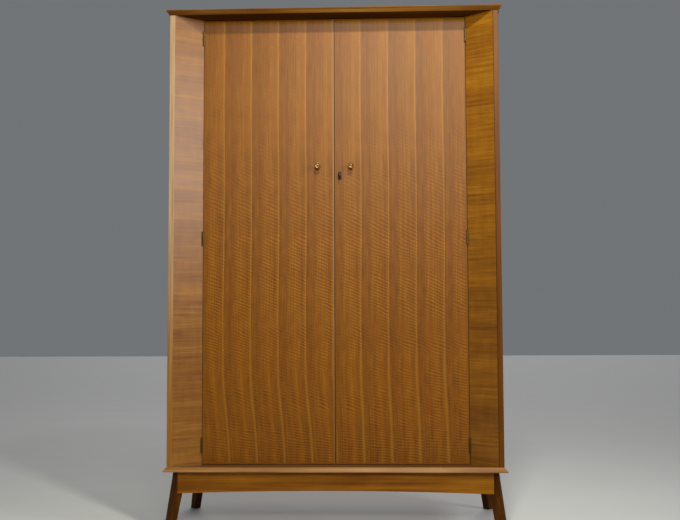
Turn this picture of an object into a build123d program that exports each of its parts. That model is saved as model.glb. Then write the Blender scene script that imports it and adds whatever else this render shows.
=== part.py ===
from build123d import *
from math import hypot
import os

# Two-door wardrobe on splayed, diagonally set legs.
# The origin is on the floor under the middle of the whole outline, +X to the right as seen
# from the front, +Y to the back and +Z up. All sizes are in millimetres.

# ---- carcass ----
body_width = 1160
body_depth = 545
base_height = 207
door_zone_height = 1588
board_thickness = 17
board_overhang = 12
board_land = 3
board_arris_radius = 2.2
side_thickness = 19
lipping_depth = 19
back_thickness = 6
back_inset = 2

# ---- angled panels and hinge stiles ----
slant_run = 91
slant_recess = 69
slant_thickness = 12
stile_width = 25
stile_depth = 60

# ---- doors ----
door_thickness = 19
door_side_gap = 2
door_end_gap = 2
door_meeting_gap = 2.5
door_lipping = 5
stop_size = 12
stop_play = 0.5

# ---- hinges ----
hinge_length = 50
hinge_end_distance = 66
knuckle_count = 5
knuckle_radius = 3.5
knuckle_play = 0.1
hinge_pin_radius = 1.5
hinge_pin_clearance = 0.05
hinge_pin_standoff = 4
leaf_thickness = 1.4
leaf_play = 0.1
leaf_reach = 21
leaf_screw_spread = 30

# ---- knobs ----
knob_offset = 59
knob_height = 1276
knob_radius = 11
knob_length = 22
knob_foot_radius = 7
knob_waist_radius = 4.6
knob_screw_grip = 12

# ---- lock and key ----
key_offset = 19
key_height = 1243
key_shank_radius = 2.4
keyhole_radius = 2.9
keyhole_slot_width = 2.8
keyhole_slot_drop = 8.6
key_bit_reach = 7.8
key_bow_width = 24
key_bow_length = 21
key_bow_rim = 4
key_bow_thickness = 3.2
lock_case_width = 45
lock_case_height = 46
lock_case_depth = 12
lock_wall = 1.5
lock_bolt_height = 11
lock_bolt_thickness = 6
lock_bolt_length = 34
lock_bolt_play = 0.15
lock_throw = 9
strike_length = 40
strike_thickness = 1.2

# ---- slide bolts of the left door ----
slide_bolt_offset = 30
slide_bolt_radius = 3
slide_bolt_clearance = 0.08
slide_bolt_length = 74
slide_bolt_standoff = 5.5
slide_bolt_rest_gap = 1.3
slide_bolt_pull_reach = 12
slide_bolt_pull_radius = 3.6
guide_width = 16
guide_length = 60
guide_plate = 1.5
staple_length = 8
keep_thickness = 1.2
keep_hole_radius = 3.6
keep_width = 18

# ---- interior ----
shelf_thickness = 16
shelf_height = 1560
shelf_setback = 135
cleat_size = 18
rail_radius = 11
rail_wall = 1.5
rail_height = 1490
rail_socket_radius = 24
rail_cup_length = 14

# ---- base ----
leg_half_diagonal_top = 24
leg_half_diagonal_foot = 19.5
leg_top_inset_x = 37.5
leg_top_inset_y = 54.5
foot_inset_x = 7.5
foot_inset_y = 20
apron_thickness = 20
apron_bottom = 130
apron_half_length = 546
front_apron_setback = 26
side_apron_inset = 30
apron_arch_rise = 10
corner_block_size = 85
corner_block_height = 57

# ---- screws ----
small_screw_length = 15
small_shank_radius = 1.4
small_head_radius = 2.7
large_shank_radius = 2
large_head_radius = 4
knob_screw_radius = 2
knob_screw_head_radius = 4.2
knob_screw_head_depth = 2.6

# ---- places worked out from the sizes above ----
back_y = (body_depth + board_overhang) / 2
front_y = back_y - body_depth
half_width = body_width / 2
carcass_low = base_height + board_thickness
carcass_high = carcass_low + door_zone_height
total_height = carcass_high + board_thickness
inner_x = half_width - side_thickness
opening_x = inner_x - slant_run
door_front = front_y + slant_recess
door_back = door_front + door_thickness
door_outer_x = opening_x - door_side_gap
door_inner_x = door_meeting_gap / 2
door_low = carcass_low + door_end_gap
door_high = carcass_high - door_end_gap
pin_x = opening_x - door_side_gap / 2
pin_y = door_front - hinge_pin_standoff
hinge_heights = {
    "lower": door_low + hinge_end_distance,
    "middle": (door_low + door_high) / 2,
    "upper": door_high - hinge_end_distance,
}
back_inner_y = back_y - back_inset - back_thickness
block_corner_x = -half_width + side_apron_inset + apron_thickness
block_corner_y = front_y + front_apron_setback + apron_thickness
block_low = base_height - corner_block_height
along_x = (1, 0, 0)
along_y = (0, 1, 0)
along_z = (0, 0, 1)


def block(x_range, y_range, z_range):
    """A box between two values on each axis."""
    lows = [min(x_range), min(y_range), min(z_range)]
    spans = [max(x_range) - lows[0], max(y_range) - lows[1], max(z_range) - lows[2]]
    return Pos(*lows) * Box(*spans, align=(Align.MIN, Align.MIN, Align.MIN))


def plan_prism(points, z_range):
    """An upright prism over an outline drawn in plan."""
    outline = Plane.XY.offset(z_range[0]) * Polygon(*points, align=None)
    return extrude(outline, z_range[1] - z_range[0], dir=along_z)


def rod(radius, start, direction, length):
    """A round bar from a point along a direction."""
    return extrude(Plane(origin=start, z_dir=direction) * Circle(radius), length)


def screw(start, direction, head_radius, shank_radius, length):
    """A countersunk screw, its flat head at the start point."""
    head_depth = head_radius - shank_radius
    upright = (Align.CENTER, Align.CENTER, Align.MIN)
    body = Cone(head_radius, shank_radius, head_depth, align=upright)
    body += Cylinder(shank_radius, length, align=upright)
    return Plane(origin=start, z_dir=direction) * body


def slotted(fastener, start, direction, head_radius):
    """The screw with the driver's slot cut across its head."""
    slot = Box(2 * head_radius, 0.7, 1.2)
    return fastener - Plane(origin=start, z_dir=direction) * slot


def mirrored(shape):
    """The same piece on the other side of the wardrobe."""
    return mirror(shape, about=Plane.YZ)


def cut_piece(piece, cuts):
    """The piece less those cuts that reach it."""
    for cut in cuts:
        if cut.bounding_box().overlaps(piece.bounding_box()):
            piece -= cut
    return piece


def save(name, *solids):
    """Write one node: a single solid, or a group of separate ones."""
    shape = solids[0]
    if len(solids) > 1:
        shape = Compound([piece for item in solids for piece in item.solids()])
    shape.label = name
    export_step(shape, f"parts/{name}.step")


def save_pair(name, left_solid):
    """Write a left-hand piece and its mirror image."""
    save(f"left_{name}", left_solid)
    save(f"right_{name}", mirrored(left_solid))


# ---- boards, sides and back ----
def board_outline(proud):
    """The carcass outline in plan, widened at the front and both sides."""
    depth = body_depth + proud
    return Pos(0, back_y - depth / 2) * Rectangle(body_width + 2 * proud, depth)


def bevelled_board(carcass_face, free_face):
    """A board whose front and side edges slope out from the carcass to a narrow land."""
    outward = 1 if free_face > carcass_face else -1
    land_z = free_face - outward * board_land
    sections = [
        Plane.XY.offset(min(carcass_face, land_z)) * board_outline(0 if outward > 0 else board_overhang),
        Plane.XY.offset(max(carcass_face, land_z)) * board_outline(board_overhang if outward > 0 else 0),
    ]
    board = loft(sections, ruled=True)
    land = Plane.XY.offset(min(land_z, free_face)) * board_outline(board_overhang)
    board += extrude(land, board_land, dir=along_z)
    arrises = [
        edge
        for edge in board.edges()
        if abs(edge.center().Z - free_face) < 0.01 and edge.center().Y < back_y - 1
    ]
    return fillet(arrises, board_arris_radius)


def carcass():
    zone = (carcass_low, carcass_high)
    save("top_board", bevelled_board(carcass_high, total_height))
    bottom = bevelled_board(carcass_low, base_height)
    for fastener in base_screws():
        bottom -= fastener
    save("bottom_board", bottom)
    side = block((-half_width, -inner_x), (front_y + lipping_depth, back_y), zone)
    save_pair("side_panel", side)
    lipping = block((-half_width, -inner_x), (front_y, front_y + lipping_depth), zone)
    save_pair("front_lipping", lipping)
    save("back_panel", block((-inner_x, inner_x), (back_inner_y, back_y - back_inset), zone))


# ---- hinges, modelled for the left door ----
def hinge_recess(x_range, height):
    """The shallow housing that a leaf lies in."""
    reach = (pin_y, pin_y + leaf_reach)
    return block(x_range, reach, (height - hinge_length / 2, height + hinge_length / 2))


def leaf_screw_points(x, height):
    middle_y = pin_y + knuckle_radius + (leaf_reach - knuckle_radius) / 2
    half_spread = leaf_screw_spread / 2
    return [(x, middle_y, height - half_spread), (x, middle_y, height + half_spread)]


def hinge_screws(side, heights, cut_slots=False):
    """Screws of the frame leaves (side -1) or of the door leaves (side +1)."""
    made = []
    start_x = -pin_x + side * leaf_play
    for height in heights:
        for start in leaf_screw_points(start_x, height):
            direction = (side, 0, 0)
            fastener = screw(start, direction, small_head_radius, small_shank_radius, small_screw_length)
            if cut_slots:
                fastener = slotted(fastener, start, direction, small_head_radius)
            made.append(fastener)
    return made


def hinge_leaf(side, height):
    """A leaf with its knuckles: side -1 is the frame's, side +1 is the door's."""
    low = height - hinge_length / 2
    knuckle_length = hinge_length / knuckle_count
    neck = knuckle_radius + 0.5
    plate_x = (-pin_x + side * leaf_play, -pin_x + side * (leaf_play + leaf_thickness))
    leaf = block(plate_x, (pin_y + neck, pin_y + leaf_reach), (low, low + hinge_length))
    first = 0 if side < 0 else 1
    for index in range(first, knuckle_count, 2):
        start_z = low + index * knuckle_length + knuckle_play
        span = knuckle_length - 2 * knuckle_play
        leaf += block(plate_x, (pin_y, pin_y + neck), (start_z, start_z + span))
        leaf += rod(knuckle_radius, (-pin_x, pin_y, start_z), along_z, span)
    bore = hinge_pin_radius + hinge_pin_clearance
    leaf -= rod(bore, (-pin_x, pin_y, low), along_z, hinge_length)
    for fastener in hinge_screws(side, [height]):
        leaf -= fastener
    return leaf


def hinge_pin(height):
    """A pin with a small domed head on the top knuckle."""
    low = height - hinge_length / 2
    pin = rod(hinge_pin_radius, (-pin_x, pin_y, low), along_z, hinge_length)
    dome = rod(2.6, (-pin_x, pin_y, low + hinge_length - knuckle_play), along_z, 2)
    return pin + fillet(dome.edges().group_by(Axis.Z)[-1], 1.4)


def hinges():
    for place, height in hinge_heights.items():
        save_pair(f"{place}_hinge_frame_leaf", hinge_leaf(-1, height))
        save_pair(f"{place}_hinge_door_leaf", hinge_leaf(1, height))
    pins = [hinge_pin(height) for height in hinge_heights.values()]
    save("hinge_pins", *pins, *[mirrored(pin) for pin in pins])
    frame_screws = hinge_screws(-1, hinge_heights.values(), cut_slots=True)
    save("hinge_frame_screws", *frame_screws, *[mirrored(item) for item in frame_screws])
    door_screws = hinge_screws(1, hinge_heights.values(), cut_slots=True)
    save("left_hinge_door_screws", *door_screws)
    save("right_hinge_door_screws", *[mirrored(item) for item in door_screws])


# ---- angled panels and the stiles that carry the hinges ----
def slant_back(x):
    """Depth of the angled panel's back face at a distance from the middle."""
    slope = slant_recess / slant_run
    offset = slant_thickness * hypot(slant_run, slant_recess) / slant_run
    return front_y + offset + (inner_x - x) * slope


def angled_panels():
    zone = (carcass_low, carcass_high)
    length = hypot(slant_run, slant_recess)
    back_edge = (
        -opening_x - slant_thickness * slant_recess / length,
        door_front + slant_thickness * slant_run / length,
    )
    front_edge = (-opening_x, door_front)
    panel = plan_prism([(-inner_x, front_y), front_edge, back_edge, (-inner_x, slant_back(inner_x))], zone)
    stile_x = opening_x + stile_width
    stile_outline = [
        front_edge,
        (-opening_x, door_front + stile_depth),
        (-stile_x, door_front + stile_depth),
        (-stile_x, slant_back(stile_x)),
        back_edge,
    ]
    stile = plan_prism(stile_outline, zone)
    recess_x = (-opening_x, -pin_x - leaf_play - leaf_thickness)
    for height in hinge_heights.values():
        recess = hinge_recess(recess_x, height)
        panel -= recess
        stile -= recess
        for fastener in hinge_screws(-1, [height]):
            panel -= fastener
            stile -= fastener
    save_pair("angled_panel", panel)
    save_pair("hinge_stile", stile)


# ---- doors, modelled as left doors and mirrored for the right ----
def door_blank():
    """The veneered panel and its four lipping strips."""
    depth = (door_front, door_back)
    height = (door_low, door_high)
    core_x = (-door_outer_x + door_lipping, -door_inner_x - door_lipping)
    core_z = (door_low + door_lipping, door_high - door_lipping)
    panel = block(core_x, depth, core_z)
    strips = [
        block((-door_outer_x, core_x[0]), depth, height),
        block((core_x[1], -door_inner_x), depth, height),
        block(core_x, depth, (door_low, core_z[0])),
        block(core_x, depth, (core_z[1], door_high)),
    ]
    return panel, strips


def door_cuts(extra_cuts):
    """What both doors lose to hinges and knob screw, and the extra cuts of one door."""
    cuts = []
    for height in hinge_heights.values():
        cuts.append(hinge_recess((-door_outer_x, -pin_x + leaf_play + leaf_thickness), height))
    cuts += hinge_screws(1, hinge_heights.values())
    cuts.append(rod(knob_screw_radius, (-knob_offset, door_front, knob_height), along_y, door_thickness))
    cuts.append(knob_screw_head())
    return cuts + extra_cuts


def doors():
    panel, strips = door_blank()
    left_cuts = door_cuts([strike_plate_blank(), strike_pocket()])
    save("left_door_panel", cut_piece(panel, left_cuts))
    save("left_door_lipping", *[cut_piece(strip, left_cuts) for strip in strips])
    right_cuts = door_cuts([mirrored(lock_case_blank()), mirrored(keyhole(door_front, door_thickness))])
    save("right_door_panel", mirrored(cut_piece(panel, right_cuts)))
    save("right_door_lipping", *[mirrored(cut_piece(strip, right_cuts)) for strip in strips])


def door_stops():
    """Strips behind the doors that stop them, drilled for the slide bolts."""
    stop_y = (door_back + stop_play, door_back + stop_play + stop_size)
    stops = []
    keeps = []
    for face, inward in ((carcass_high, -1), (carcass_low, 1)):
        stop = block((-door_outer_x, door_outer_x), stop_y, (face, face + inward * stop_size))
        keep_z = (face + inward * stop_size, face + inward * (stop_size + keep_thickness))
        keep_x = (-slide_bolt_offset - keep_width / 2, -slide_bolt_offset + keep_width / 2)
        keep = block(keep_x, stop_y, keep_z)
        start = (-slide_bolt_offset, door_back + slide_bolt_standoff, face)
        hole = rod(keep_hole_radius, start, (0, 0, inward), stop_size + keep_thickness)
        stops.append(stop - hole)
        keeps.append(keep - hole)
    save("door_stops", *stops)
    save("slide_bolt_keeps", *keeps)


# ---- knobs ----
def knob_screw_head():
    """The round head of a knob's screw, sunk in the back of the door."""
    start = (-knob_offset, door_back, knob_height)
    return rod(knob_screw_head_radius, start, (0, -1, 0), knob_screw_head_depth)


def knobs():
    """Turned knobs: a foot, a waist and a dished head with a boss in its middle."""
    rim_y = -knob_length
    with BuildPart() as turned:
        with BuildSketch(Plane.XY):
            with BuildLine():
                Polyline((0, 0), (knob_foot_radius, 0), (knob_foot_radius, -1.6))
                Spline(
                    (knob_foot_radius, -1.6),
                    (knob_waist_radius, -6.5),
                    (knob_radius, -knob_length + 5.4),
                    tangents=((0, -1), (1, -0.5)),
                )
                Spline(
                    (knob_radius, -knob_length + 5.4),
                    (knob_radius - 0.3, rim_y + 2.2),
                    (knob_radius - 2.1, rim_y),
                    tangents=((0.2, -1), (-1, 0)),
                )
                Spline(
                    (knob_radius - 2.1, rim_y),
                    (knob_radius - 5.4, rim_y + 2.4),
                    (2.6, rim_y + 1.9),
                    (0, rim_y + 0.9),
                    tangents=((-1, 0.35), (-1, 0)),
                )
                Line((0, rim_y + 0.9), (0, 0))
            make_face()
        revolve(axis=Axis.Y)
    knob = Pos(-knob_offset, door_front, knob_height) * turned.part
    start = (-knob_offset, door_front - knob_screw_grip, knob_height)
    shank = rod(knob_screw_radius, start, along_y, knob_screw_grip + door_thickness - knob_screw_head_depth)
    knob -= shank
    head = knob_screw_head()
    slot = Pos(-knob_offset, door_back, knob_height) * Box(9, 1.6, 1)
    save_pair("knob", knob)
    save_pair("knob_screw", shank + head - slot)


# ---- lock of the right door ----
def keyhole(start_y, depth):
    """A keyhole through the right door: a round hole over a narrow slot."""
    hole = rod(keyhole_radius, (key_offset, start_y, key_height), along_y, depth)
    slot_x = (key_offset - keyhole_slot_width / 2, key_offset + keyhole_slot_width / 2)
    return hole + block(slot_x, (start_y, start_y + depth), (key_height - keyhole_slot_drop, key_height))


def lock_case_blank():
    low = key_height - 0.45 * lock_case_height
    return block(
        (door_inner_x, door_inner_x + lock_case_width),
        (door_back - lock_case_depth, door_back),
        (low, low + lock_case_height),
    )


def bolt_section():
    """Depth and height ranges of the lock's bolt, above the key's sweep."""
    middle_y = door_back - lock_case_depth / 2
    low = key_height + key_bit_reach + 1
    depth = (middle_y - lock_bolt_thickness / 2, middle_y + lock_bolt_thickness / 2)
    return depth, (low, low + lock_bolt_height)


def widened(span, play):
    return (span[0] - play, span[1] + play)


def strike_plate_blank():
    depth, height = bolt_section()
    middle = sum(height) / 2
    return block(
        (-door_inner_x - strike_thickness, -door_inner_x),
        (door_back - lock_case_depth, door_back),
        (middle - strike_length / 2, middle + strike_length / 2),
    )


def strike_pocket():
    """The hole in the left door's edge that takes the thrown bolt."""
    depth, height = bolt_section()
    return block((-door_inner_x - lock_throw - 1, -door_inner_x), widened(depth, 0.6), widened(height, 0.6))


def key_solid():
    """A key with an oval bow, its bit pointing down inside the lock."""
    shank_end = door_back - lock_wall - 1
    bow_back = door_front - 7
    bow_middle = bow_back - key_bow_length / 2 + 1.5
    shank = rod(key_shank_radius, (key_offset, bow_back - 1, key_height), along_y, shank_end - bow_back + 1)
    collar = rod(3.9, (key_offset, bow_back, key_height), along_y, 2.4)
    collar = fillet(collar.edges().filter_by(GeomType.CIRCLE), 0.9)
    bow_plane = Plane(
        origin=(key_offset - key_bow_thickness / 2, bow_middle, key_height), x_dir=along_y, z_dir=along_x
    )
    ring = Ellipse(key_bow_length / 2, key_bow_width / 2)
    ring -= Ellipse(key_bow_length / 2 - key_bow_rim, key_bow_width / 2 - key_bow_rim)
    bow = extrude(bow_plane * ring, key_bow_thickness)
    bow = fillet(bow.edges(), 1.1)
    bit_y = (shank_end - 5.5, shank_end - 0.5)
    bit = block((key_offset - 1, key_offset + 1), bit_y, (key_height - key_bit_reach, key_height))
    return shank + collar + bow + bit


def lock():
    case = lock_case_blank()
    box = case.bounding_box()
    cavity = block(
        (box.min.X + lock_wall, box.max.X - lock_wall),
        (box.min.Y + lock_wall, box.max.Y - lock_wall),
        (box.min.Z + lock_wall, box.max.Z - lock_wall),
    )
    depth, height = bolt_section()
    bolt_start = door_inner_x + 0.2
    case -= cavity
    mouth_x = (box.min.X, box.min.X + lock_wall)
    case -= block(mouth_x, widened(depth, lock_bolt_play), widened(height, lock_bolt_play))
    case -= keyhole(box.min.Y, lock_wall)
    save("lock_case", case)
    bolt = block((bolt_start, bolt_start + lock_bolt_length), depth, height)
    save("lock_bolt", bolt)
    save("key", key_solid())
    plate_plane = Plane(origin=(key_offset, door_front, key_height - 2.5), x_dir=along_z, z_dir=(0, -1, 0))
    plate = extrude(plate_plane * SlotOverall(30, 13), 1)
    plate = fillet(plate.edges().group_by(Axis.Y)[0], 0.6)
    save("escutcheon", plate - keyhole(door_front - 1, 1))
    save("strike_plate", strike_plate_blank() - strike_pocket())


# ---- slide bolts on the back of the left door ----
def slide_bolt(end_z, outward):
    """Guide and sliding rod: end_z is the rod's free end, outward the way it slides."""
    axis_y = door_back + slide_bolt_standoff
    plate_z = (end_z - outward * 8, end_z - outward * (8 + guide_length))
    plate_x = (-slide_bolt_offset - guide_width / 2, -slide_bolt_offset + guide_width / 2)
    guide = block(plate_x, (door_back, door_back + guide_plate), plate_z)
    staple_x = (-slide_bolt_offset - 5.5, -slide_bolt_offset + 5.5)
    for distance in (12, guide_length - 4):
        staple_z = (end_z - outward * distance, end_z - outward * (distance + staple_length))
        guide += block(staple_x, (door_back, axis_y + 5.5), staple_z)
    start = (-slide_bolt_offset, axis_y, end_z)
    inward = (0, 0, -outward)
    guide -= rod(slide_bolt_radius + slide_bolt_clearance, start, inward, guide_length + 20)
    bolt = rod(slide_bolt_radius, start, inward, slide_bolt_length)
    pull_z = end_z - outward * (guide_length / 2 + 12)
    pull_start = (-slide_bolt_offset, axis_y, pull_z)
    bolt += rod(1.8, pull_start, along_y, slide_bolt_pull_reach)
    bolt += Pos(-slide_bolt_offset, axis_y + slide_bolt_pull_reach, pull_z) * Sphere(slide_bolt_pull_radius)
    return guide, bolt


def slide_bolts():
    rest_gap = stop_size + keep_thickness + slide_bolt_rest_gap
    for name, end_z, outward in (
        ("upper", carcass_high - rest_gap, 1),
        ("lower", carcass_low + rest_gap, -1),
    ):
        guide, bolt = slide_bolt(end_z, outward)
        save(f"{name}_slide_bolt_guide", guide)
        save(f"{name}_slide_bolt", bolt)


# ---- shelf and hanging rail ----
def interior():
    shelf_y = (front_y + shelf_setback, back_inner_y)
    shelf_z = (shelf_height, shelf_height + shelf_thickness)
    save("hat_shelf", block((-inner_x, inner_x), shelf_y, shelf_z))
    cleat_z = (shelf_height - cleat_size, shelf_height)
    cleat = block((-inner_x, -inner_x + cleat_size), (shelf_y[0] + 15, shelf_y[1]), cleat_z)
    save("shelf_cleats", cleat, mirrored(cleat))
    rail_y = (door_back + back_inner_y) / 2
    wall_start = (-inner_x, rail_y, rail_height)
    rail_start = (-inner_x + 3, rail_y, rail_height)
    rail_length = 2 * (inner_x - 3)
    rail = rod(rail_radius, rail_start, along_x, rail_length)
    rail -= rod(rail_radius - rail_wall, rail_start, along_x, rail_length)
    save("hanging_rail", rail)
    socket = rod(rail_socket_radius, wall_start, along_x, 3)
    socket = fillet(socket.edges().group_by(Axis.X)[-1], 1)
    socket += rod(rail_radius + 3, wall_start, along_x, rail_cup_length)
    socket -= rod(rail_radius + 0.05, rail_start, along_x, rail_cup_length)
    save("rail_sockets", socket, mirrored(socket))


# ---- base ----
def all_corners(front_left_pieces):
    """The pieces of the front left corner, repeated at all four corners."""
    left_pieces = front_left_pieces + [front_to_back(piece) for piece in front_left_pieces]
    return left_pieces + [mirrored(piece) for piece in left_pieces]


def base_screws(cut_slots=False):
    """Two screws up through each corner block into the bottom board."""
    length = corner_block_height + board_thickness - 5
    made = []
    for run_x, run_y in ((50, 18), (18, 50)):
        start = (block_corner_x + run_x, block_corner_y + run_y, block_low)
        fastener = screw(start, along_z, large_head_radius, large_shank_radius, length)
        if cut_slots:
            fastener = slotted(fastener, start, along_z, large_head_radius)
        made.append(fastener)
    return all_corners(made)


def leg_square(z, centre_x, centre_y, half_diagonal):
    side = half_diagonal * 2**0.5
    return Plane.XY.offset(z) * Pos(centre_x, centre_y) * Rot(0, 0, 45) * Rectangle(side, side)


def front_left_leg():
    """A tapered square leg set on the diagonal, leaning out to the side and the front."""
    foot = leg_square(0, -half_width + foot_inset_x, front_y + foot_inset_y, leg_half_diagonal_foot)
    top_centre = (-half_width + leg_top_inset_x, front_y + leg_top_inset_y)
    return loft([foot, leg_square(base_height, *top_centre, leg_half_diagonal_top)], ruled=True)


def front_to_back(shape):
    """The same piece at the other end of the body's depth."""
    return mirror(shape, about=Plane.XZ.offset(-(front_y + back_y) / 2))


def apron(length, rise):
    """A rail along X, centred, its front face on the XZ plane and its lower edge arched."""
    with BuildPart() as rail:
        with BuildSketch(Plane.XZ):
            with BuildLine():
                Polyline(
                    (-length / 2, apron_bottom),
                    (-length / 2, base_height),
                    (length / 2, base_height),
                    (length / 2, apron_bottom),
                )
                ThreePointArc(
                    (length / 2, apron_bottom), (0, apron_bottom + rise), (-length / 2, apron_bottom)
                )
            make_face()
        extrude(amount=-apron_thickness)
    return rail.part


def base():
    leg = front_left_leg()
    legs = {
        "front_left_leg": leg,
        "front_right_leg": mirrored(leg),
        "rear_left_leg": front_to_back(leg),
        "rear_right_leg": mirrored(front_to_back(leg)),
    }
    apron_y = front_y + front_apron_setback
    middle_y = (front_y + back_y) / 2
    side_length = body_depth - 2 * (front_apron_setback + apron_thickness)
    front = Pos(0, apron_y, 0) * apron(2 * apron_half_length, apron_arch_rise)
    side_arch = apron_arch_rise * side_length / body_width
    side = Pos(-half_width + side_apron_inset, middle_y, 0) * Rot(0, 0, -90) * apron(side_length, side_arch)
    aprons = {
        "front_apron": front,
        "back_apron": front_to_back(front),
        "left_apron": side,
        "right_apron": mirrored(side),
    }
    for name, leg_piece in legs.items():
        save(name, leg_piece)
        for apron_name in aprons:
            aprons[apron_name] -= leg_piece
    for name, rail in aprons.items():
        save(name, rail)

    outline = [
        (block_corner_x, block_corner_y),
        (block_corner_x + corner_block_size, block_corner_y),
        (block_corner_x, block_corner_y + corner_block_size),
    ]
    corner = cut_piece(plan_prism(outline, (block_low, base_height)), [leg] + base_screws())
    save("corner_blocks", *all_corners([corner]))
    save("base_screws", *base_screws(cut_slots=True))


os.makedirs("parts", exist_ok=True)
carcass()
angled_panels()
hinges()
doors()
door_stops()
knobs()
lock()
slide_bolts()
interior()
base()
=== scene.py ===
import math

import bmesh
import bpy
from mathutils import Matrix, Vector


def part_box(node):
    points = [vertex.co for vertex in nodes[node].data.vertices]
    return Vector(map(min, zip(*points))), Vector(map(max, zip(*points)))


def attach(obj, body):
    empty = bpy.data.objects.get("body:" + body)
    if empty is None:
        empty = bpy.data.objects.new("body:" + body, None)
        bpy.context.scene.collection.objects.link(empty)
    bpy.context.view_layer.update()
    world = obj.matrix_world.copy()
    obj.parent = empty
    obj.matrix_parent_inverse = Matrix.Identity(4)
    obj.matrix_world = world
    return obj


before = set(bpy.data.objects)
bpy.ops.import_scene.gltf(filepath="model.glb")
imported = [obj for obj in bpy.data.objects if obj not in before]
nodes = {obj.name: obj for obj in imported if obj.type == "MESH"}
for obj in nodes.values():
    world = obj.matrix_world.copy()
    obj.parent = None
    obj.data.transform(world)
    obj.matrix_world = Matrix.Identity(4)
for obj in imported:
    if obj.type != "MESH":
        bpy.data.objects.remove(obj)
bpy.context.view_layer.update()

# ---- places read from model.glb, in metres, and names used in loops ----
FRONT_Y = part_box("left_front_lipping")[0].y
DOOR_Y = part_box("left_door_panel")[0].y
SIDES = ("left", "right")
LEGS = [f"{end}_{side}_leg" for end in ("front", "rear") for side in SIDES]


# ---- node building ----
class Shade:
    """One procedural material, built value by value."""

    def __init__(self, name):
        self.material = bpy.data.materials.new(name)
        self.material.use_nodes = True
        self.tree = self.material.node_tree
        self.shader = self.tree.nodes["Principled BSDF"]
        self.coords = self.tree.nodes.new("ShaderNodeTexCoord").outputs["Object"]
        self.x, self.y, self.z = self.split(self.coords)

    def node(self, kind, **settings):
        made = self.tree.nodes.new(kind)
        for key, value in settings.items():
            setattr(made, key, value)
        return made

    def feed(self, socket, value):
        if isinstance(value, bpy.types.NodeSocket):
            self.tree.links.new(value, socket)
        else:
            socket.default_value = value

    def split(self, vector):
        made = self.node("ShaderNodeSeparateXYZ")
        self.feed(made.inputs[0], vector)
        return made.outputs[0], made.outputs[1], made.outputs[2]

    def join(self, x, y, z):
        made = self.node("ShaderNodeCombineXYZ")
        for socket, value in zip(made.inputs, (x, y, z)):
            self.feed(socket, value)
        return made.outputs[0]

    def math(self, operation, first, second=0.0, third=0.0):
        made = self.node("ShaderNodeMath", operation=operation)
        for socket, value in zip(made.inputs, (first, second, third)):
            self.feed(socket, value)
        return made.outputs[0]

    def add(self, *values):
        total = values[0]
        for value in values[1:]:
            total = self.math("ADD", total, value)
        return total

    def times(self, first, second):
        return self.math("MULTIPLY", first, second)

    def fit(self, value, low, high, to_low=0.0, to_high=1.0, smooth=True):
        """The value's place between low and high, from to_low to to_high, held at both ends."""
        kind = "SMOOTHSTEP" if smooth else "LINEAR"
        made = self.node("ShaderNodeMapRange", interpolation_type=kind)
        for socket, entry in zip(made.inputs, (value, low, high, to_low, to_high)):
            self.feed(socket, entry)
        return made.outputs[0]

    def noise(self, vector, detail=2.0, roughness=0.5, distortion=0.0, seed=0.0):
        """Noise from 0 to 1 with a cell of one unit in the given coordinates."""
        made = self.node("ShaderNodeTexNoise", noise_dimensions="4D")
        self.feed(made.inputs["Vector"], vector)
        self.feed(made.inputs["W"], seed)
        made.inputs["Scale"].default_value = 1.0
        made.inputs["Detail"].default_value = detail
        made.inputs["Roughness"].default_value = roughness
        made.inputs["Distortion"].default_value = distortion
        return made.outputs["Fac"]

    def arrises(self, radius):
        """1 on the edges of the piece and 0 on its faces."""
        eased = self.node("ShaderNodeBevel", samples=4)
        eased.inputs["Radius"].default_value = radius
        made = self.node("ShaderNodeVectorMath", operation="DOT_PRODUCT")
        self.feed(made.inputs[0], eased.outputs["Normal"])
        self.feed(made.inputs[1], self.node("ShaderNodeNewGeometry").outputs["Normal"])
        return self.fit(made.outputs["Value"], 0.80, 0.99, 1.0, 0.0)

    def ramp(self, value, stops):
        """A colour ramp through (position, (red, green, blue)) stops."""
        made = self.node("ShaderNodeValToRGB")
        elements = made.color_ramp.elements
        while len(elements) < len(stops):
            elements.new(0.5)
        for element, (position, colour) in zip(elements, stops):
            element.position = position
            element.color = (*colour, 1.0)
        self.feed(made.inputs["Fac"], value)
        return made.outputs["Color"]

    def profile(self, value, stops):
        """A drawn curve through (value, height) stops, held at both ends."""
        low, high = stops[0][0], stops[-1][0]
        greys = [((place - low) / (high - low), (height,) * 3) for place, height in stops]
        return self.ramp(self.fit(value, low, high, smooth=False), greys)

    def mix(self, factor, first, second, blend="MIX"):
        made = self.node("ShaderNodeMix", data_type="RGBA", blend_type=blend)
        self.feed(made.inputs["Factor"], factor)
        for socket, value in zip((made.inputs[6], made.inputs[7]), (first, second)):
            self.feed(socket, value if isinstance(value, bpy.types.NodeSocket) else (*value, 1.0))
        return made.outputs[2]

    def bump(self, height, distance, strength=1.0):
        made = self.node("ShaderNodeBump")
        made.inputs["Strength"].default_value = strength
        made.inputs["Distance"].default_value = distance
        self.feed(made.inputs["Height"], height)
        self.feed(self.shader.inputs["Normal"], made.outputs["Normal"])

    def finish(self, colour, roughness, metallic=0.0, specular=0.5):
        self.feed(self.shader.inputs["Base Color"], colour)
        self.feed(self.shader.inputs["Roughness"], roughness)
        self.shader.inputs["Metallic"].default_value = metallic
        self.shader.inputs["Specular IOR Level"].default_value = specular
        return self.material


def centred(shade, noise, amount):
    """Noise about zero, from -amount/2 to +amount/2."""
    return shade.times(shade.math("SUBTRACT", noise, 0.5), amount)


# ---- woods ----
# The doors' veneer is laid in equal leaves: their width, the X of one joint, and each leaf's streak.
LEAF_WIDTH = 0.0977
FIRST_JOINT = -0.368
STREAK_IN_LEAF = 0.070
LEAF_RISE = 0.0035
LEAF_SLIP = 0.11
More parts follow.
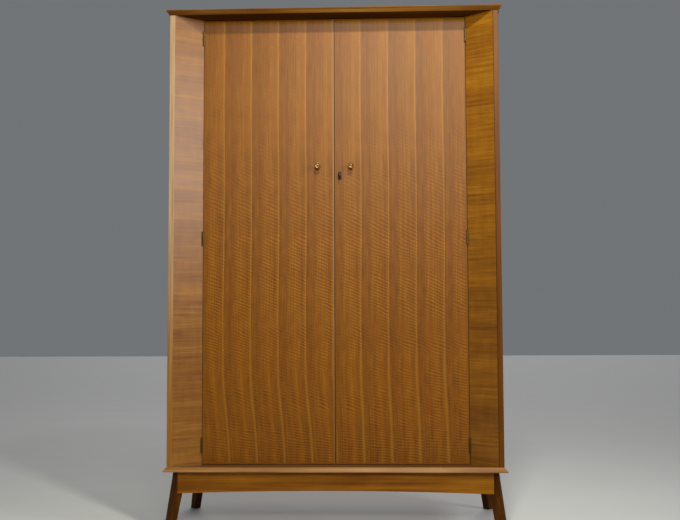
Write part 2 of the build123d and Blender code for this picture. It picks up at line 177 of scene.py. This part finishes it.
# Curves across a leaf, by distance in metres from its light streak: the tone low and high on the
# door, the streak itself and the strength of the ripple.
LEAF_TONES = [
    (-0.098, 0.40),
    (-0.076, 0.42),
    (-0.062, 0.45),
    (-0.050, 0.50),
    (-0.038, 0.55),
    (-0.030, 0.54),
    (-0.017, 0.46),
    (-0.003, 0.50),
    (0.003, 0.39),
    (0.028, 0.40),
]
HIGH_LEAF_TONES = [
    (-0.098, 0.42),
    (-0.070, 0.44),
    (-0.040, 0.50),
    (-0.012, 0.58),
    (0.001, 0.66),
    (0.003, 0.41),
    (0.028, 0.42),
]
STREAK = [(-0.010, 0.0), (-0.004, 0.7), (0.002, 1.0), (0.0035, 0.0)]
RIPPLE_IN_LEAF = [(-0.098, 0.15), (-0.080, 0.25), (-0.060, 0.8), (-0.040, 1), (0.002, 1), (0.004, 0.2)]
# Ripples are counted downwards from this height: how many there are to the metre, and how fast
# they close up.
RIPPLE_TOP = 1.8
RIPPLES_PER_METRE = 54
RIPPLE_CLOSING = 16
DOOR_TONE = (0.178, 0.0585, 0.0020)
DOOR_EDGE_TONE = (0.182, 0.0610, 0.0022)
# The colour of the painted highlight on the left door's meeting edge.
EDGE_HIGHLIGHT_TONE = (0.36, 0.190, 0.085)
STREAK_COLOUR = (0.35, 0.150, 0.018)
RUDDY_TINT = (1.06, 0.91, 0.75)


def tones(red, green, blue):
    """Ramp stops about a middle colour: the dark end redder, the light end yellower."""
    steps = (
        (0.0, 0.42, 0.35, 0.30),
        (0.25, 0.70, 0.64, 0.60),
        (0.5, 1.0, 1.0, 1.0),
        (0.75, 1.36, 1.50, 1.70),
        (1.0, 1.75, 2.10, 2.60),
    )
    return [(place, (red * r, green * g, blue * b)) for place, r, g, b in steps]


def grain_vector(shade, grain, along, across):
    """Coordinates stretched along the grain axis."""
    x, y, z = (
        shade.times(value, along if axis == grain else across)
        for axis, value in zip("xyz", (shade.x, shade.y, shade.z))
    )
    return shade.join(x, y, z)


def solid_wood(name, grain, stops, seed, contrast=1.0, roughness=0.40, wear_and_highlight=0.0, specular=0.3, dark=None):
    """Straight-grained wood: broad bands, fine streaks, pores, small marks, and arrises lightened by wear
    and, on the top board, by a painted highlight.

    The dark value, from 0 to 1, marks where the wood is darkened: painted shade on the top board's
    underside and on the bottom board's top behind the front, and a dark joint line beside the right angled
    panel.
    """
    shade = Shade(name)
    bands = shade.noise(grain_vector(shade, grain, 1.6, 38), 2.0, 0.5, 0.6, seed)
    streaks = shade.noise(grain_vector(shade, grain, 5, 320), 3.0, 0.6, 0.2, seed + 3)
    pores = shade.noise(grain_vector(shade, grain, 45, 1900), 1.0, 0.5, 0.0, seed + 5)
    patches = shade.noise(grain_vector(shade, grain, 5, 12), 2.0, 0.5, 0.0, seed + 7)
    tone = shade.add(
        0.5,
        centred(shade, bands, 0.8 * contrast),
        centred(shade, streaks, 0.6 * contrast),
        centred(shade, patches, 0.4 * contrast),
        shade.fit(pores, 0.34, 0.46, -0.08, 0.0),
    )
    if dark is not None:
        tone = shade.add(tone, shade.times(dark(shade), -0.45))
    if wear_and_highlight:
        marks = shade.noise(grain_vector(shade, grain, 60, 160), 2.0, 0.6, 0.0, seed + 11)
        # Lighter arrises: wear, and on the top board a painted highlight.
        rubbed_and_lit = shade.times(shade.arrises(0.0022), shade.fit(marks, 0.35, 0.65))
        tone = shade.add(tone, shade.times(rubbed_and_lit, wear_and_highlight))
    colour = shade.ramp(tone, stops)
    shade.bump(shade.add(streaks, shade.times(pores, 0.6)), 0.00025, 0.35)
    sheen = shade.add(roughness, centred(shade, streaks, 0.16), centred(shade, patches, 0.10))
    return shade.finish(colour, sheen, specular=specular)


def recess_painted_shade(shade):
    """1 behind the carcass's front, where a board's top lies in the recess under the doors and is darkened
    as painted shade.
    """
    return shade.fit(shade.y, FRONT_Y, FRONT_Y + 0.004)


def beside_panel(shade):
    """1 along the right front lipping's inner edge, the dark line beside the angled panel."""
    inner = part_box("right_front_lipping")[0].x
    return shade.fit(shade.x, inner + 0.0018, inner + 0.0032, 1.0, 0.0)


def underside_painted_shade(shade):
    """1 on the top board's underside, which is darkened as painted shade."""
    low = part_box("top_board")[0].z
    return shade.fit(shade.z, low + 0.0005, low + 0.0020, 1.0, 0.0)


def sheen_painted_lipping():
    """The left front lipping: pale on its upper part from a painted sheen, golden lower down."""
    shade = Shade("left_lipping_painted_sheen")
    streaks = shade.noise(grain_vector(shade, "z", 4, 260), 3.0, 0.6, 0.2, 1.0)
    patches = shade.noise(grain_vector(shade, "z", 3, 60), 2.0, 0.5, 0.2, 4.0)
    tone = shade.add(0.5, centred(shade, streaks, 0.8), centred(shade, patches, 0.5))
    # Lighter arrises here: wear and a painted highlight.
    rubbed_and_lit = shade.times(shade.arrises(0.0025), 0.12)
    golden = shade.ramp(shade.add(tone, rubbed_and_lit), tones(0.255, 0.0950, 0.0050))
    pale = shade.ramp(shade.add(tone, rubbed_and_lit), tones(0.350, 0.2050, 0.1000))
    # The pale colour is a painted sheen, mixed in more towards the top.
    colour = shade.mix(shade.fit(shade.z, 0.35, 1.15), golden, pale)
    return shade.finish(colour, shade.add(0.40, centred(shade, streaks, 0.16)), specular=0.4)


def from_streak(shade, across):
    """The distance from the leaf's streak, which wanders and drifts to the right down the door."""
    by_door = shade.fit(shade.x, -0.02, 0.02, 1.15, 0.45)
    drift = shade.add(shade.times(shade.fit(shade.z, 0.20, 0.58, 0.021, 0.0), by_door), 0.001)
    lengthwise = shade.join(0, 0, shade.times(shade.z, 2.2))
    wander = centred(shade, shade.noise(lengthwise, 1.0, seed=4.0), 0.009)
    return shade.math("SUBTRACT", across, shade.add(drift, wander, STREAK_IN_LEAF))


def fiddleback(shade, figure, u, height, face):
    """Ripples that fall from left to right, close up towards the bottom and lie flatter there."""
    slope = shade.fit(shade.z, 0.24, 0.80, 0.16, 0.44)
    warp = centred(shade, figure(9, 11, 21.0), 0.034)
    depth = shade.math("SUBTRACT", RIPPLE_TOP, shade.add(height, shade.times(u, slope), warp))
    closing = shade.times(shade.times(depth, depth), RIPPLE_CLOSING)
    turns = shade.add(shade.times(depth, RIPPLES_PER_METRE), closing)
    wave = shade.math("SINE", shade.times(turns, 2 * math.pi))
    in_leaf = shade.profile(u, RIPPLE_IN_LEAF)
    spread = shade.fit(shade.z, 0.45, 0.95, 0.75, 0.0)
    down_door = shade.fit(shade.z, 0.85, 1.62, 1.0, 0.12)
    patch = shade.fit(figure(16, 13, 30.0), 0.34, 0.62, 0.12, 1.0)
    strength = shade.times(shade.times(shade.math("MAXIMUM", in_leaf, spread), down_door), patch)
    return shade.times(wave, shade.times(strength, face))


def door_veneer():
    """Slip-matched leaves: the same streaks and the same fiddleback ripple in every leaf.

    The figure shows on the doors' outer face only, and their inner face is plain.
    """
    shade = Shade("door_veneer")
    place = shade.times(shade.math("SUBTRACT", shade.x, FIRST_JOINT), 1 / LEAF_WIDTH)
    leaf = shade.math("FLOOR", place)
    across = shade.times(shade.math("SUBTRACT", place, leaf), LEAF_WIDTH)
    slip = shade.times(leaf, LEAF_SLIP)
    height = shade.add(shade.z, shade.times(leaf, LEAF_RISE))
    u = from_streak(shade, across)

    def figure(u_scale, height_scale, seed, detail=2.0, roughness=0.5, distortion=0.0):
        vector = shade.join(shade.times(u, u_scale), 0, shade.times(height, height_scale))
        return shade.noise(vector, detail, roughness, distortion, shade.add(slip, seed))

    face = shade.fit(shade.y, DOOR_Y + 0.003, DOOR_Y + 0.006, 1.0, 0.0)
    high = shade.fit(shade.z, 1.05, 1.55)
    low_tone, high_tone = shade.profile(u, LEAF_TONES), shade.profile(u, HIGH_LEAF_TONES)
    change = shade.times(shade.math("SUBTRACT", high_tone, low_tone), high)
    leaf_tone = shade.add(low_tone, change, -0.5)
    broad = figure(24, 2.2, 1.0)
    clouds = figure(38, 20, 5.0, 3.0, 0.6)
    long_streaks = figure(225, 1.3, 9.0, 3.0, 0.6, 0.1)
    fine = figure(380, 12, 15.0, 2.0, 0.6)
    ripple = fiddleback(shade, figure, u, height, face)
    leaf_by_height = shade.join(shade.times(leaf, 0.7), 0, shade.times(shade.z, 0.5))
    side_tone = shade.noise(leaf_by_height, 1.0, seed=50)
    tone = shade.add(
        0.5,
        shade.times(leaf_tone, face),
        centred(shade, broad, 0.20),
        shade.times(centred(shade, clouds, 0.42), shade.fit(high, 0.0, 1.0, 1.0, 0.5)),
        centred(shade, long_streaks, 0.72),
        centred(shade, fine, 0.60),
        centred(shade, side_tone, 0.12),
        shade.times(ripple, 0.20),
    )
    past_middle = shade.math("FRACT", shade.add(place, 0.5))
    joint_gap = shade.math("ABSOLUTE", shade.math("SUBTRACT", past_middle, 0.5))
    joint = shade.fit(joint_gap, 0.001, 0.006, -0.05, 0.0)
    colour = shade.ramp(shade.add(tone, joint), tones(*DOOR_TONE))
    ruddy = shade.fit(figure(34, 10, 44.0, 3.0), 0.40, 0.66, 0.0, 0.65)
    colour = shade.mix(ruddy, colour, RUDDY_TINT, "MULTIPLY")
    streak = shade.profile(shade.times(u, shade.fit(shade.z, 0.45, 0.85, 1.0, 2.2)), STREAK)
    streak_strength = shade.times(face, shade.fit(shade.z, 0.5, 1.0, 0.32, 0.44))
    colour = shade.mix(shade.times(streak, streak_strength), colour, STREAK_COLOUR)
    shade.bump(shade.add(fine, shade.times(ripple, 0.3)), 0.0002, 0.3)
    sheen = shade.add(0.40, centred(shade, long_streaks, 0.12), shade.times(ripple, 0.03))
    return shade.finish(colour, sheen, specular=0.17)


def door_lipping(name, meeting_highlight):
    """The doors' thin edging: like the veneer, and paler along the meeting edge, as much as paleness says,
    by a painted highlight that grows higher up the door.
    """
    shade = Shade(name)
    streaks = shade.noise(grain_vector(shade, "z", 5, 320), 3.0, 0.6, 0.2, 3.0)
    tone = shade.add(0.42, centred(shade, streaks, 0.5))
    # A painted highlight along the meeting edge, stronger higher up the door.
    meeting = shade.fit(shade.math("ABSOLUTE", shade.x), 0.003, 0.007, meeting_highlight, 0.0)
    painted_light_rise = shade.fit(shade.z, 0.3, 1.2, 0.45, 1.0)
    brown = shade.ramp(tone, tones(*DOOR_EDGE_TONE))
    pale = shade.ramp(tone, tones(*EDGE_HIGHLIGHT_TONE))
    colour = shade.mix(shade.times(meeting, painted_light_rise), brown, pale)
    return shade.finish(colour, shade.add(0.40, centred(shade, streaks, 0.14)), specular=0.17)


def panel_veneer(name, stops, seed, painted_light_rise, specular):
    """Veneer laid with its grain across the angled panels; higher sets a painted light that changes the
    tone up the panel.
    """
    shade = Shade(name)
    side = shade.math("SIGN", shade.x)
    tilt = shade.add(shade.z, shade.times(shade.times(shade.x, side), 0.03))

    def figure(run_scale, tilt_scale, offset, detail=2.0, roughness=0.5, distortion=0.0):
        vector = shade.join(shade.times(shade.x, run_scale), 0, shade.times(tilt, tilt_scale))
        return shade.noise(vector, detail, roughness, distortion, seed + offset)

    bands = figure(1.5, 13, 2.0, distortion=0.3)
    lines = figure(5, 130, 6.0, 3.0, 0.6, 0.4)
    fine = figure(20, 900, 8.0, 2.0, 0.6)
    mottle = figure(45, 14, 11.0)
    dark_lines = shade.fit(figure(3, 55, 14.0, 2.0), 0.30, 0.40, -0.16, 0.0)
    tone = shade.add(
        0.5,
        centred(shade, bands, 0.75),
        centred(shade, lines, 1.00),
        centred(shade, fine, 0.50),
        centred(shade, mottle, 0.35),
        dark_lines,
        # Lighter or darker up the panel: painted light.
        shade.times(shade.fit(shade.z, 0.35, 1.75, -0.5, 0.5), painted_light_rise),
    )
    colour = shade.ramp(tone, stops)
    shade.bump(shade.add(lines, fine), 0.0002, 0.3)
    return shade.finish(colour, shade.add(0.34, centred(shade, lines, 0.14)), specular=specular)


# ---- metals ----
def metal(name, colour, dull_colour, roughness, tarnish=0.5):
    """Worn metal: cloudy tarnish, fine rubbing marks and a little pitting."""
    shade = Shade(name)
    clouds = shade.noise(grain_vector(shade, "z", 90, 90), 3.0, 0.6, 0.4, 1.0)
    rubs = shade.noise(grain_vector(shade, "z", 260, 1500), 2.0, 0.6, 0.0, 4.0)
    factor = shade.fit(clouds, 0.40, 0.66, 0.0, tarnish)
    mixed = shade.mix(factor, colour, dull_colour)
    shade.bump(shade.add(clouds, shade.times(rubs, 0.5)), 0.00012, 0.3)
    sheen = shade.add(roughness, centred(shade, rubs, 0.16), shade.times(factor, 0.15))
    return shade.finish(mixed, sheen, metallic=1.0)


def paint(material, *names):
    """Give CAD nodes a material in place of their plain one."""
    for name in names:
        slots = nodes[name].data.materials
        slots.clear()
        slots.append(material)


def dress_doors():
    paint(door_veneer(), "left_door_panel", "right_door_panel")
    # Only the left door's meeting edge gets the painted highlight.
    paint(door_lipping("left_door_edge_painted_highlight", meeting_highlight=0.65), "left_door_lipping")
    paint(door_lipping("right_door_edge", meeting_highlight=0.0), "right_door_lipping")


def dress_front():
    """The angled panels and the strips along their outer edges: the left side paler with painted sheen, the
    right strip darker with painted shade.
    """
    # The left panel's paler, bluer tones are a painted sheen.
    sheen_left_tones = tones(0.205, 0.0750, 0.0060)
    left = panel_veneer("left_panel_painted_sheen", sheen_left_tones, 0.0, painted_light_rise=-0.02, specular=0.40)
    right_tones = tones(0.218, 0.0775, 0.0028)
    right = panel_veneer("right_panel_veneer", right_tones, 40.0, painted_light_rise=0.18, specular=0.33)
    paint(left, "left_angled_panel")
    paint(right, "right_angled_panel")
    paint(sheen_painted_lipping(), "left_front_lipping")
    # The right strip's darker tone is painted shade.
    shaded_strip_tones = tones(0.122, 0.0390, 0.0015)
    strip = solid_wood(
        "right_lipping_painted_shade", "z", shaded_strip_tones, 5.0, wear_and_highlight=0.12, specular=0.12, dark=beside_panel
    )
    paint(strip, "right_front_lipping")


def dress_carcass():
    bottom_tones = tones(0.270, 0.1150, 0.0280)
    # The bottom board is darkened behind the front as painted shade.
    bottom = solid_wood("bottom_board_wood", "x", bottom_tones, 12.0, 1.5, wear_and_highlight=0.2, dark=recess_painted_shade)
    top_tones = tones(0.150, 0.0555, 0.0070)
    # On the top board the lighter arrises are mostly a painted highlight, and the darker underside is a
    # painted shade.
    top = solid_wood(
        "top_board_wood", "x", top_tones, 17.0, 2.0, 0.55, wear_and_highlight=0.6, specular=0.06, dark=underside_painted_shade
    )
    side = solid_wood("side_veneer", "z", tones(0.180, 0.0610, 0.0050), 22.0)
    paint(bottom, "bottom_board")
    paint(top, "top_board")
    paint(side, "left_side_panel", "right_side_panel")
    ply = tones(0.33, 0.180, 0.070)
    upright = solid_wood("ply_upright", "z", ply, 62.0, 0.7, 0.6)
    paint(upright, "back_panel", "left_hinge_stile", "right_hinge_stile")
    paint(solid_wood("ply_across", "x", ply, 72.0, 0.7, 0.5), "hat_shelf", "door_stops")
    paint(solid_wood("ply_deep", "y", ply, 82.0, 0.7, 0.6), "shelf_cleats")


def dress_base():
    apron = tones(0.235, 0.0770, 0.0018)
    along_x = solid_wood("apron_along_x", "x", apron, 32.0, 1.7, wear_and_highlight=0.1, specular=0.15)
    along_y = solid_wood("apron_along_y", "y", apron, 42.0, 1.7, wear_and_highlight=0.1, specular=0.15)
    leg = solid_wood("leg_wood", "z", tones(0.066, 0.0190, 0.0007), 52.0, 1.5, wear_and_highlight=0.3, specular=0.08)
    block = solid_wood("block_wood", "z", tones(0.42, 0.270, 0.130), 92.0, 1.0, 0.75)
    paint(along_x, "front_apron", "back_apron")
    paint(along_y, "left_apron", "right_apron")
    paint(leg, *LEGS)
    paint(block, "corner_blocks")


def dress_fittings():
    places = ("lower", "middle", "upper")
    parts = ("frame", "door")
    leaves = [f"{side}_{place}_hinge_{part}_leaf" for side in SIDES for place in places for part in parts]
    brass = metal("aged_brass", (0.105, 0.072, 0.036), (0.050, 0.036, 0.022), 0.50)
    paint(brass, "hinge_pins", "slide_bolt_keeps", "strike_plate", *leaves)
    paint(brass, "upper_slide_bolt", "lower_slide_bolt", "upper_slide_bolt_guide", "lower_slide_bolt_guide")
    bronze = metal("plate_bronze", (0.035, 0.020, 0.014), (0.015, 0.010, 0.007), 0.45)
    paint(bronze, "escutcheon")
    knob = metal("knob_brass", (0.30, 0.165, 0.065), (0.10, 0.050, 0.025), 0.44, 0.8)
    paint(knob, "left_knob", "right_knob")
    screws = metal("screw_brass", (0.50, 0.37, 0.18), (0.25, 0.17, 0.09), 0.3)
    paint(screws, "hinge_frame_screws", "left_knob_screw", "right_knob_screw")
    paint(screws, "left_hinge_door_screws", "right_hinge_door_screws")
    steel_screws = metal("screw_steel", (0.50, 0.50, 0.50), (0.30, 0.29, 0.27), 0.35)
    paint(steel_screws, "base_screws")
    plating = metal("rail_plating", (0.78, 0.78, 0.79), (0.60, 0.59, 0.57), 0.16, 0.3)
    paint(plating, "hanging_rail", "rail_sockets")
    lock = metal("lock_steel", (0.36, 0.35, 0.33), (0.22, 0.19, 0.16), 0.42)
    paint(lock, "lock_case", "lock_bolt")
    key = metal("key_metal", (0.075, 0.050, 0.036), (0.025, 0.017, 0.013), 0.28)
    paint(key, "key")


STRIP_EASE = 0.0012
LEG_EASE = 0.0018


def soften(name, width):
    """Ease a node's sharp arrises, as sanding does."""
    node = nodes[name]
    weld = node.modifiers.new("weld", "WELD")
    weld.merge_threshold = 0.00001
    bevel = node.modifiers.new("arris", "BEVEL")
    bevel.width = width
    bevel.segments = 2
    bevel.limit_method = "ANGLE"
    bevel.angle_limit = math.radians(35)


# The back panel's pins: radius and rise of the heads, the distance between them and from its edge.
PIN_RADIUS = 0.0032
PIN_RISE = 0.0011
PIN_STEP = 0.105
PIN_INSET = 0.010


def add_back_pins():
    """The low domed heads of the pins that hold the back panel: round its edge and along the shelf."""
    low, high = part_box("back_panel")
    shelf_low, shelf_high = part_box("hat_shelf")
    left, right = low.x + PIN_INSET, high.x - PIN_INSET
    bottom, top = low.z + PIN_INSET, high.z - PIN_INSET
    columns, rows = round((right - left) / PIN_STEP), round((top - bottom) / PIN_STEP)
    levels = (bottom, (shelf_low.z + shelf_high.z) / 2, top)
    across = [left + (right - left) * step / columns for step in range(columns + 1)]
    upwards = [bottom + (top - bottom) * step / rows for step in range(1, rows)]
    places = [(x, z) for x in across for z in levels]
    places += [(x, z) for z in upwards for x in (left, right)]
    heads = bmesh.new()
    squash = Matrix.Diagonal((1.0, PIN_RISE / PIN_RADIUS, 1.0, 1.0))
    for x, z in places:
        place = Matrix.Translation((x, high.y, z)) @ squash
        bmesh.ops.create_uvsphere(heads, u_segments=16, v_segments=8, radius=PIN_RADIUS, matrix=place)
    for face in heads.faces:
        face.smooth = True
    mesh = bpy.data.meshes.new("back_pins")
    heads.to_mesh(mesh)
    heads.free()
    mesh.materials.append(metal("pin_steel", (0.42, 0.41, 0.40), (0.20, 0.16, 0.12), 0.38, 0.9))
    pins = bpy.data.objects.new("back_pins", mesh)
    bpy.context.scene.collection.objects.link(pins)
    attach(pins, "carcass")


# ---- camera, floor and light ----
def add_camera():
    """The viewpoint: low, a little to the right of the middle and looking slightly up."""
    data = bpy.data.cameras.new("camera")
    data.sensor_width = 36.0
    data.lens = 55.25
    camera = bpy.data.objects.new("camera", data)
    bpy.context.scene.collection.objects.link(camera)
    sideways, distance, eye_height = 0.181, 3.611, 0.676
    yaw, pitch, roll = -0.0440, 0.0717, -0.0035
    forward = Vector((math.sin(yaw) * math.cos(pitch), math.cos(yaw) * math.cos(pitch), math.sin(pitch)))
    level_right = Vector((math.cos(yaw), -math.sin(yaw), 0.0))
    level_up = level_right.cross(forward)
    right = math.cos(roll) * level_right + math.sin(roll) * level_up
    up = math.cos(roll) * level_up - math.sin(roll) * level_right
    turn = Matrix((right, up, -forward)).transposed()
    place = (sideways, FRONT_Y - distance, eye_height)
    camera.matrix_world = Matrix.Translation(place) @ turn.to_4x4()
    bpy.context.scene.camera = camera


def add_floor():
    """A wide, plain, pale floor."""
    reach = 30.0
    mesh = bpy.data.meshes.new("floor")
    corners = [(-reach, -reach, 0), (reach, -reach, 0), (reach, reach, 0), (-reach, reach, 0)]
    mesh.from_pydata(corners, [], [(0, 1, 2, 3)])
    floor = bpy.data.objects.new("floor", mesh)
    bpy.context.scene.collection.objects.link(floor)
    shade = Shade("floor")
    mottle = shade.noise(shade.join(shade.times(shade.x, 3), shade.times(shade.y, 3), 0), 3.0)
    colour = shade.ramp(mottle, [(0.0, (0.62, 0.61, 0.59)), (1.0, (0.68, 0.67, 0.65))])
    mesh.materials.append(shade.finish(colour, 0.8, specular=0.2))


def add_area(name, place, target, size, power, colour, spread=180):
    data = bpy.data.lights.new(name, "AREA")
    data.shape = "RECTANGLE"
    data.size, data.size_y = size
    data.energy = power
    data.color = colour
    data.spread = math.radians(spread)
    light = bpy.data.objects.new(name, data)
    light.location = place
    light.rotation_mode = "QUATERNION"
    light.rotation_quaternion = (Vector(target) - Vector(place)).to_track_quat("-Z", "Y")
    bpy.context.scene.collection.objects.link(light)
    return light


def add_lights():
    """A key above, a window-like light on the right, a soft sun behind and a front light.

    The front light has two parts: a high one that only makes the haze on the polished doors, and
    a lower one that only lights them, so that it reaches up under the top board.
    """
    warm = (0.97, 0.99, 0.86)
    cool = (0.94, 0.97, 1.0)
    add_area("key", (0.35, DOOR_Y - 1.5, 2.85), (0.0, DOOR_Y, 1.3), (0.16, 0.12), 15, warm, 110)
    sheen = add_area("sheen", (0.4, DOOR_Y - 4.8, 2.9), (0.0, DOOR_Y, 1.65), (1.8, 1.0), 25, warm, 70)
    sheen.visible_diffuse = False
    front = add_area("front", (0.4, DOOR_Y - 4.8, 2.15), (0.0, DOOR_Y, 1.45), (1.8, 0.7), 23, warm, 70)
    front.visible_glossy = False
    add_area("window", (2.4, DOOR_Y - 1.7, 1.95), (-0.4, DOOR_Y, 1.5), (0.9, 1.2), 25, cool, 140)
    sun = bpy.data.lights.new("rear", "SUN")
    sun.energy = 1.4
    sun.angle = math.radians(40)
    rear = bpy.data.objects.new("rear", sun)
    rear.rotation_euler = (math.radians(-74), 0.0, 0.0)
    bpy.context.scene.collection.objects.link(rear)
    world = bpy.data.worlds.new("sky")
    world.use_nodes = True
    background = world.node_tree.nodes["Background"]
    background.inputs["Color"].default_value = (0.88, 0.93, 0.97, 1.0)
    background.inputs["Strength"].default_value = 0.19
    bpy.context.scene.world = world


def set_view():
    settings = bpy.context.scene.view_settings
    settings.view_transform = "Standard"
    settings.look = "None"
    settings.exposure = 0.0


dress_doors()
dress_front()
dress_carcass()
dress_base()
dress_fittings()
for strip in ("left_front_lipping", "right_front_lipping", "front_apron", "back_apron"):
    soften(strip, STRIP_EASE)
for leg in LEGS:
    soften(leg, LEG_EASE)
add_back_pins()
add_camera()
add_floor()
add_lights()
set_view()
